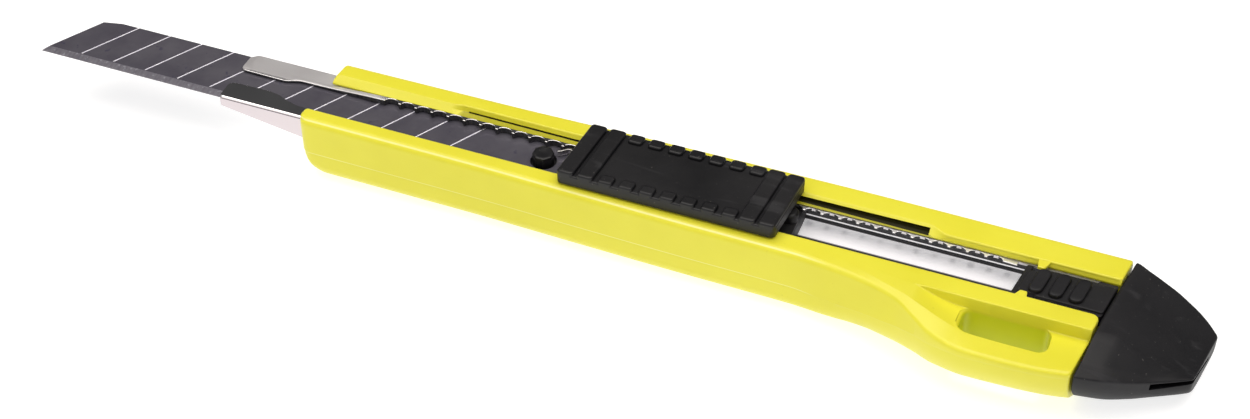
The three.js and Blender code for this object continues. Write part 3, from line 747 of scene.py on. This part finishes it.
def far_lip(x):
    if x > LATCH_BAY:
        return 2.5
    edge = far_lip_line(x) + fall_back(x - RAIL_FRONT, 0.6)
    place = (x - NOTCH_FIRST) / NOTCH_PITCH
    index = round(place)
    across = abs(place - index) / 0.43
    if 0 <= index < NOTCH_COUNT and across < 1:
        edge += NOTCH_DEPTH * (1 - across ** 2) ** 0.5
    return edge


# The far wall turns in over the nose's first part, and the floor rises towards the nose.
NOSE_TURN_LENGTH, NOSE_TURN = 0.9, 0.8
NOSE_RISE_FROM, NOSE_RISE = 37, 2.3 / 14.1
# The slit in the nose's walls: its length, and its limits across and in height.
BLADE_WAY_LENGTH = 1.0
BLADE_WAY_Y = (-4.6, 4.62)
BLADE_WAY_Z = (-0.45, 0.07)


def rail_section(x):
    half = local(RAIL_HIGH).y
    nose = x - RAIL_FRONT
    near = -half + fall_back(nose, 0.35)
    far = half - max(0, NOSE_TURN_LENGTH - nose) * NOSE_TURN
    bottom = RAIL_FLOOR + max(0, NOSE_RISE_FROM - x) * NOSE_RISE
    bend = 0.45
    lip_low = RAIL_TOP - 0.30
    lip_near, lip_far = near_lip(x), far_lip(x)
    return rounded([
        (near, bottom, 0.25, 4), (far, bottom, bend, 5), (far, RAIL_TOP, bend, 5),
        (2.56, RAIL_TOP, 0.01, 1), (2.52, RAIL_TOP + lip_rise(x), 0.05, 1),
        (
            lip_far, RAIL_TOP + lip_rise(x), 0.08, 3
        ), (lip_far, lip_low, 0.03, 1), (far - SHEET, lip_low, 0.12, 2),
        (far - SHEET, bottom + SHEET, 0.15, 3), (
            near + SHEET, bottom + SHEET, 0.15, 3
        ), (near + SHEET, lip_low, 0.12, 2),
        (lip_near, lip_low, 0.04, 1), (lip_near, RAIL_TOP, 0.09, 2), (near, RAIL_TOP, bend, 5),
    ])


def rail_piece():
    steps = [RAIL_FRONT + d for d in (0, 0.04, 0.12, 0.25, 0.4, 0.6, 0.8, 1.0, 1.5)]
    steps += spread(25, 44, 0.5)
    for i in range(NOTCH_COUNT):
        middle = NOTCH_FIRST + i * NOTCH_PITCH
        for share in (
            -0.43, -0.428, -0.415, -0.38, -0.32, -0.24, -0.13, 0, 0.13, 0.24, 0.32, 0.38, 0.415, 0.428, 0.43
        ):
            steps.append(middle + share * NOTCH_PITCH)
    steps += [LATCH_BAY - 0.15, LATCH_BAY, LATCH_BAY + 0.01, RAIL_REAR - 0.1, RAIL_REAR]
    rail = build("rail_channel", along_x([(x, rail_section(x)) for x in steps]), RAIL_STEEL, 35)
    # The walls turn in at the nose, so they are slit there to let the blade pass.
    front, rear = RAIL_FRONT - 0.4, RAIL_FRONT + BLADE_WAY_LENGTH
    near, far = BLADE_WAY_Y
    slit = [(front, near), (rear, near), (rear, far), (front, far)]
    boolean(rail, prism("blade_way", slit, *BLADE_WAY_Z, RAIL_STEEL))
    # The lips' cut edges between blade and lip top get the painted shade steel.
    rail.data.materials.append(RAIL_CUT_SHADE)
    for face in rail.data.polygons:
        middle = local(face.center)
        if abs(middle.y) < 2.5 and 0.16 < middle.z < RAIL_TOP + lip_rise(middle.x) - 0.1:
            face.material_index = 1
    return rail


finish(rail_piece(), "handle", "blade_rail")

# ---- snap-off blade -----------------------------------------------------------------------
BLADE_NEAR, BLADE_FAR = local(BLADE_LOW).y, local(BLADE_HIGH).y
BLADE_TAIL, BLADE_BOTTOM = local(BLADE_HIGH).x, local(BLADE_LOW).z
LEAN = 1 / math.tan(math.radians(60))
BEVEL = 1.1
STUD_X, STUD_Y = 68.4, -0.75


def blade_piece():
    """Strips between leaning lines: each score line is a V groove that ends at the ground edge."""
    rows = [BLADE_NEAR, BLADE_NEAR + 0.35, BLADE_NEAR + BEVEL, BLADE_NEAR + BEVEL + 0.2, BLADE_FAR - 0.62,
            BLADE_FAR - 0.04, BLADE_FAR]
    lines = [(0.0, 0.0)]
    for i in range(12):
        x = 5.0 * (i + 1) - 0.05
        lines += [(x - 0.1, 0.0), (x - 0.03, 0.08), (x + 0.03, 0.08), (x + 0.1, 0.0)]
    lines.append((BLADE_TAIL, 0.0))
    bm = bmesh.new()

    def point(line, row, top):
        x_far, depth = lines[line]
        y = rows[row]
        lean = 0 if line == len(lines) - 1 else LEAN
        x = x_far + (y - BLADE_FAR) * lean
        if line == 0 and row >= 5:
            x += 2.2
        thin = max(0.0, 1 - (y - BLADE_NEAR) / BEVEL) * 0.165
        z = -thin if top else BLADE_BOTTOM + thin
        if top and row >= 3:
            z -= depth
        if row in (0, 6):
            z += -0.01 if top else 0.01
        return bm.verts.new(KNIFE + Vector((x, y, z)) * MM)

    grid = {
        (i, j, t): point(i, j, t)
        for i in range(len(lines)) for j in range(len(rows)) for t in (True, False)
    }
    last_line, last_row = len(lines) - 1, len(rows) - 1
    for i in range(last_line):
        for j in range(last_row):
            top = bm.faces.new([grid[k] for k in (
                (i, j, True), (i + 1, j, True), (i + 1, j + 1, True), (i, j + 1, True)
            )])
            low = bm.faces.new([grid[k] for k in (
                (i, j, False), (i, j + 1, False), (i + 1, j + 1, False), (i + 1, j, False)
            )])
            top.material_index = low.material_index = 1 if j < 2 else 0
            grooved = lines[i][1] > 0 or lines[i + 1][1] > 0
            if grooved and j >= 3:
                top.material_index = 2
        bm.faces.new([grid[k] for k in ((i, 0, False), (i + 1, 0, False), (i + 1, 0, True), (i, 0, True))])
        bm.faces.new([grid[k] for k in (
            (i, last_row, True), (i + 1, last_row, True), (i + 1, last_row, False), (i, last_row, False)
        )])
    for i in (0, last_line):
        for j in range(last_row):
            bm.faces.new([grid[k] for k in (
                (i, j, True), (i, j + 1, True), (i, j + 1, False), (i, j, False)
            )])
    bmesh.ops.recalc_face_normals(bm, faces=bm.faces)
    mesh = bpy.data.meshes.new("scored_blade")
    bm.to_mesh(mesh)
    bm.free()
    blade = new_object("scored_blade", mesh, BLADE_STEEL)
    mesh.materials.append(EDGE_STEEL)
    mesh.materials.append(SCORE)
    circle = [(
        STUD_X + 1.75 * math.cos(a), STUD_Y + 1.75 * math.sin(a)
    ) for a in [math.tau * k / 48 for k in range(48)]]
    boolean(blade, prism("hole", circle, -2, 2, BLADE_STEEL))
    return blade


finish(blade_piece(), "slider", "snap_off_blade", 12)

# ---- thumb slider -------------------------------------------------------------------------
PAD_LOW, PAD_HIGH = (local(p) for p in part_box("thumb_slider"))
PAD_NEAR, PAD_FAR, PAD_TOP = PAD_LOW.y, PAD_HIGH.y, PAD_HIGH.z
PAD_FRONT, PAD_REAR, PAD_LEAN = 72.8, 102.0, 0.09
PAD_BOTTOM, PAD_FLOOR = TOP + 0.25, PAD_TOP - 0.5
PAD_PITCH = 2.75


def pad_piece():
    lean = {"slant": PAD_LEAN}
    parts = [rounded_block("pad", PAD_FRONT, PAD_REAR, PAD_NEAR, PAD_FAR, PAD_BOTTOM, PAD_FLOOR, PAD_BLACK,
                           plan=0.7, top=0.2, bottom=0.15, **lean)]
    bars = (PAD_FRONT + 0.1, PAD_FRONT + PAD_PITCH, PAD_REAR - PAD_PITCH - 2.1, PAD_REAR - 2.3)
    for x in bars:
        parts.append(rounded_block("bar", x, x + 2.25, PAD_NEAR, PAD_FAR, PAD_FLOOR - 0.6, PAD_TOP,
                                   PAD_BLACK, plan=0.5, top=0.28, **lean))
    for i in range(7):
        x = PAD_FRONT + (i + 2) * PAD_PITCH + 0.15
        for y in (PAD_NEAR, PAD_FAR - 1.65):
            parts.append(rounded_block("grip", x, x + 1.95, y, y + 1.65, PAD_FLOOR - 0.6, PAD_TOP - 0.05,
                                       PAD_BLACK, plan=0.4, top=0.26, **lean))
    parts.append(rounded_block(
        "stem", 83.5, 99, -2.4, 0.2, 0.15, PAD_BOTTOM + 0.4, PAD_BLACK, plan=0.4, top=0.05
    ))
    parts.append(rounded_block(
        "wing", 88.3, 90.8, 2.7, 3.25, 1.28, PAD_BOTTOM + 0.4, PAD_BLACK, plan=0.25, top=0.05
    ))
    return join("thumb_pad", parts)


finish(pad_piece(), "slider", "thumb_slider")


# ---- blade carrier ------------------------------------------------------------------------
def stud_piece():
    """The blunt peg that the blade hooks on, eight-sided with a rounded crown and a small dimple."""
    rings = []
    for z, radius in ((-0.9, 1.36), (0.9, 1.38), (1.2, 1.38), (1.33, 1.33), (1.39, 1.2), (1.4, 1.0),
                      (1.38, 0.6), (1.34, 0.3)):
        corners = [(
            STUD_X + radius * math.cos(a) / 0.96, STUD_Y + radius * math.sin(a) / 0.96, 0.12 * radius, 2
        )
                   for a in [math.tau * (k + 0.5) / 8 for k in range(8)]]
        rings.append([(x, y, z) for x, y in rounded(corners)])
    return build("stud", rings, PAD_BLACK)


def carrier_piece():
    low, high = (local(p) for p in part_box("blade_carrier"))
    w = high.y
    shoe = build("shoe", [
        [
            (x, y, z) for y,
            z in rounded([
                (-w, bottom, 0.3, 3), (w, bottom, 0.3, 3), (w, -0.65, 0.1, 2), (-w, -0.65, 0.1, 2)
            ])
        ]
        for x, bottom in ((low.x, -2.05), (low.x + 5, low.z), (high.x, low.z))
    ], PAD_BLACK)
    back = rounded_block("back", 74.1, high.x, -w, w, -0.9, -0.15, PAD_BLACK, plan=0.4, top=0.1)
    lug = rounded_block("lug", 100.2, high.x - 0.02, -0.6, 1.6, -0.4, 1.2, PAD_BLACK, plan=0.9, top=0.45)
    post = rounded_block("post", 82.3, 84, 0.5, 1.6, -0.4, 1.2, PAD_BLACK, plan=0.2, top=0.15)
    return join("carrier_shoe", [shoe, back, stud_piece(), lug, post])


finish(carrier_piece(), "slider", "blade_carrier")


# ---- detent spring ------------------------------------------------------------------------
def spring_piece():
    nose = NOTCH_FIRST + 11 * NOTCH_PITCH
    path = [
        (82, 1.0), (79, 0.93), (76, 0.84), (74, 0.76), (73, 0.74), (72.4, 0.82), (72, 1.02), (71.7, 1.28),
        (71.45, 1.45), (71.2, 1.5), (nose - 0.3, 1.42), (nose - 0.6, 1.16), (nose - 0.95, 0.82),
        (nose - 1.4, 0.6),
    ]
    sheet = 0.28
    rings = []
    for i, (x, y) in enumerate(path):
        x0, y0 = path[max(0, i - 1)]
        x1, y1 = path[min(len(path) - 1, i + 1)]
        length = math.hypot(x1 - x0, y1 - y0)
        across = (-(y1 - y0) / length, (x1 - x0) / length)
        if across[1] < 0:
            across = (-across[0], -across[1])
        rings.append([(x + across[0] * s, y + across[1] * s, z) for s, z in
                      rounded([
                          (0, 0.15, 0.05, 2), (sheet, 0.15, 0.05, 2), (sheet, 0.95, 0.05, 2),
                          (0, 0.95, 0.05, 2)
                      ])])
    return build("click_spring", rings, SPRING_STEEL)


finish(spring_piece(), "spring", "detent_spring")

# ---- end cap ------------------------------------------------------------------------------
CAP_REAR = local(CAP_HIGH).x
CAP_FAR = local(CAP_HIGH).y
CAP_FIRST = END_X + 0.3
CAP_LAST = CAP_REAR - END_LEAN * 3.4 - 0.06

cap_top = knots([(140, 1.35), (144, 1.1), (146, 0.1), (150, -2.0), (156, -4.7)])
cap_bottom = knots([(140, BOTTOM), (144, -8.45), (150, -7.9), (156, -7.1)])
cap_far = knots([(140, 7.2), (145, CAP_FAR - 0.01), (149, 7.15), (152.3, 6.25), (154, 5.35), (155.6, 4.0)])
cap_near = knots([(140, -13.2), (144, -12.0), (147, -10.3), (150, -8.3), (153, -6.3), (155.6, -4.4)])
cap_ridge = knots([(140, -7.0), (146, -6.9), (150, -6.4), (153.4, -4.4), (155.6, -3.6)])
cap_flange = knots([(140, -0.5), (144, -1.1), (148, -2.2), (149.4, -2.6), (153.8, -3.3), (156, -3.9)])
cap_foot = knots([(140, -1.1), (144, -2.0), (148, -3.5), (153.5, -5.1), (156, -5.5)])
cap_sweep = knots([(140, 10.0), (144, 8.4), (150, 6.0), (154, 4.4), (156, 3.8)])


def slanted(curve, station, guess):
    """A side curve's value where a leaning cross-section meets it."""
    y = guess
    for _ in range(4):
        y = curve(station + END_LEAN * y)
    return y


def cap_section(s):
    far, near, ridge = slanted(cap_far, s, 7), slanted(cap_near, s, -12), slanted(cap_ridge, s, -7)
    far_x, near_x, ridge_x = s + END_LEAN * far, s + END_LEAN * near, s + END_LEAN * ridge
    top, ridge_top, flange = cap_top(far_x), cap_top(ridge_x), cap_flange(near_x)
    bottom, low_near = cap_bottom(far_x), cap_bottom(near_x)
    hollow_y = ridge + (near - ridge) * 0.62
    hollow_z = ridge_top + (flange - ridge_top) * 0.8
    return rounded([
        (far - 0.3, bottom, 1.6, 6), (far, (top + bottom) / 2 - 0.4, 0.4, 3), (far - 0.02, top, 0.35, 4),
        (ridge, ridge_top, 3.4, 8), (hollow_y, hollow_z, 2.2, 7), (near, flange, 0.3, 4),
        (near + 0.02, flange - 0.45, 0.2, 2),
        (near + 0.05, low_near, cap_foot(near_x) - low_near, cap_sweep(near_x), 10),
    ])


def cap_piece():
    steps = [CAP_FIRST + d for d in (0, 0.1, 0.25)] + spread(CAP_FIRST + 0.6, CAP_LAST - 0.4, 0.35)
    steps += [CAP_LAST - d for d in (0.25, 0.12, 0.03, 0)]
    sections = []
    for s in steps:
        edge = fall_back(s - CAP_FIRST, 0.2) + fall_back(CAP_LAST - s, 0.3)
        sections.append((s, shrink(cap_section(s), edge), END_LEAN))
    body = build("cap_shell", along_x(sections), CAP_BLACK)
    slot = []
    for x, half in ((149.4, 0.5), (154.5, 0.3), (165, 0.3)):
        outer, deep = (0.101 * x - 21.085 - 0.3 * y for y in (-20, 1))
        slot.append((x, [(-20, outer - half), (1, deep - half), (1, deep + half), (-20, outer + half)]))
    boolean(body, build("snap_slot", along_x(slot), CAP_BLACK))
    seat = rounded([
        (x + END_LEAN * y, y, 0.3, 4) for x, y in ((140, -3.3), (142.5, -3.3), (142.5, 2.2), (140, 2.2))
    ])
    boolean(body, prism("tongue_seat", seat, -1.3, 3, CAP_BLACK))
    soften(body, 0.12, 2, 50)
    plug = rounded_block(
        "plug", 136.5, 144.5, -4.1, 4.1, -6.8, -5.2, CAP_BLACK, plan=0.6, top=0.25, bottom=0.25
    )
    collar = rounded_block(
        "collar", 142.72, 143.4, -4.7, 4.7, -4.4, 0.9, CAP_BLACK, plan=0.2, top=0.15, slant=END_LEAN
    )
    return join("cap_shell", [body, plug, collar])


finish(cap_piece(), "cap", "end_cap", 50)


# ---- latch tongue -------------------------------------------------------------------------
def tongue_piece():
    low, high = -0.9, 1.0
    lean = {"slant": END_LEAN}
    parts = [
        rounded_block(
            "head", 131.3, 132.15, -3.5, 2.2, low, high - 0.1, CAP_BLACK, plan=0.25, top=0.22, **lean
        ),
        rounded_block("neck", 131.8, 134.3, -2.75, 1.2, low, high, CAP_BLACK, plan=0.2, top=0.12, **lean),
        rounded_block("plate", 134.1, 142.5, -3.0, 1.9, low, high, CAP_BLACK, plan=0.3, top=0.15, **lean),
    ]
    parts.append(rounded_block(
        "root", 140.0, 142.5, -3.5, 2.5, low, 0.75, CAP_BLACK, plan=0.3, top=0.1, **lean
    ))
    for x in (133.0, 135.45, 137.95):
        parts.append(rounded_block(
            "rib", x, x + 1.75, -2.7, 1.5, 0.7, 1.55, CAP_BLACK, plan=0.75, top=0.25, **lean
        ))
    return join("latch_bar", parts)


finish(tongue_piece(), "latch", "latch_tongue")

# ---- floor, light, camera -----------------------------------------------------------------
LOW, HIGH = cad_bounds
CENTRE = (LOW + HIGH) / 2


def studio_floor():
    n = Nodes("studio_floor")
    paper = n.noise(40, 3)
    material = n.set(
        Base_Color=n.mix(paper, (0.46, 0.46, 0.46, 1), (0.48, 0.48, 0.48, 1)), Roughness=0.8,
        Normal=n.bump(n.noise(900, 2), 0.03, 0.0001), Emission_Color=(1, 1, 1, 1), Emission_Strength=0.76,
    )
    size = 3.0
    bm = bmesh.new()
    corners = [(-size, -size), (size, -size), (size, size), (-size, size)]
    bm.faces.new([bm.verts.new((CENTRE.x + x, CENTRE.y + y, LOW.z - 0.0001)) for x, y in corners])
    mesh = bpy.data.meshes.new("studio_floor")
    bm.to_mesh(mesh)
    bm.free()
    new_object("studio_floor", mesh, material)


def aim(obj, target):
    obj.rotation_euler = (target - obj.location).to_track_quat("-Z", "Y").to_euler()


def area_light(name, place, size, energy, colour=(1, 1, 1)):
    light = bpy.data.lights.new(name, "AREA")
    light.shape = "RECTANGLE"
    light.size, light.size_y = size
    light.energy = energy
    light.color = colour
    obj = bpy.data.objects.new(name, light)
    bpy.context.scene.collection.objects.link(obj)
    obj.location = CENTRE + Vector(place)
    aim(obj, CENTRE)


def world():
    """Soft daylight from the front, fading to a dim room behind the knife."""
    sky = bpy.data.worlds.new("studio")
    sky.use_nodes = True
    tree = sky.node_tree
    background = tree.nodes["Background"]
    direction = tree.nodes.new("ShaderNodeTexCoord").outputs["Generated"]
    split = tree.nodes.new("ShaderNodeSeparateXYZ")
    tree.links.new(direction, split.inputs["Vector"])
    fade = tree.nodes.new("ShaderNodeMapRange")
    fade.interpolation_type = "SMOOTHSTEP"
    for key, value in (("From Min", -0.3), ("From Max", 0.55), ("To Min", 0.30), ("To Max", 0.07)):
        fade.inputs[key].default_value = value
    tree.links.new(split.outputs["Y"], fade.inputs["Value"])
    tree.links.new(fade.outputs["Result"], background.inputs["Strength"])
    background.inputs["Color"].default_value = (1, 1, 1, 1)
    bpy.context.scene.world = sky


CAMERA_LENS, CAMERA_SENSOR = 60.93, 36
CAMERA_DISTANCE = 0.26813


def camera():
    """Looks down at the knife's near side from the rear, at about 43 degrees."""
    azimuth, elevation = math.radians(21.20), math.radians(42.85)
    back = Vector((
        math.sin(azimuth) * math.cos(elevation),
        -math.cos(azimuth) * math.cos(elevation),
        math.sin(elevation),
    ))
    target = KNIFE + Vector((81.66, -5.65, 0)) * MM
    data = bpy.data.cameras.new("camera")
    data.lens, data.sensor_width, data.sensor_fit = CAMERA_LENS, CAMERA_SENSOR, "HORIZONTAL"
    data.clip_start = 0.01
    obj = bpy.data.objects.new("camera", data)
    bpy.context.scene.collection.objects.link(obj)
    obj.location = target + back * CAMERA_DISTANCE
    aim(obj, target)
    bpy.context.scene.camera = obj


studio_floor()
world()
area_light("front_key", (-0.12, -0.48, 0.50), (0.8, 0.45), 1.0, (1.0, 0.96, 0.92))
area_light("overhead", (0.0, 0.06, 0.80), (1.1, 0.7), 7.2, (1.0, 0.95, 0.90))
camera()
bpy.context.scene.view_settings.view_transform = "Standard"
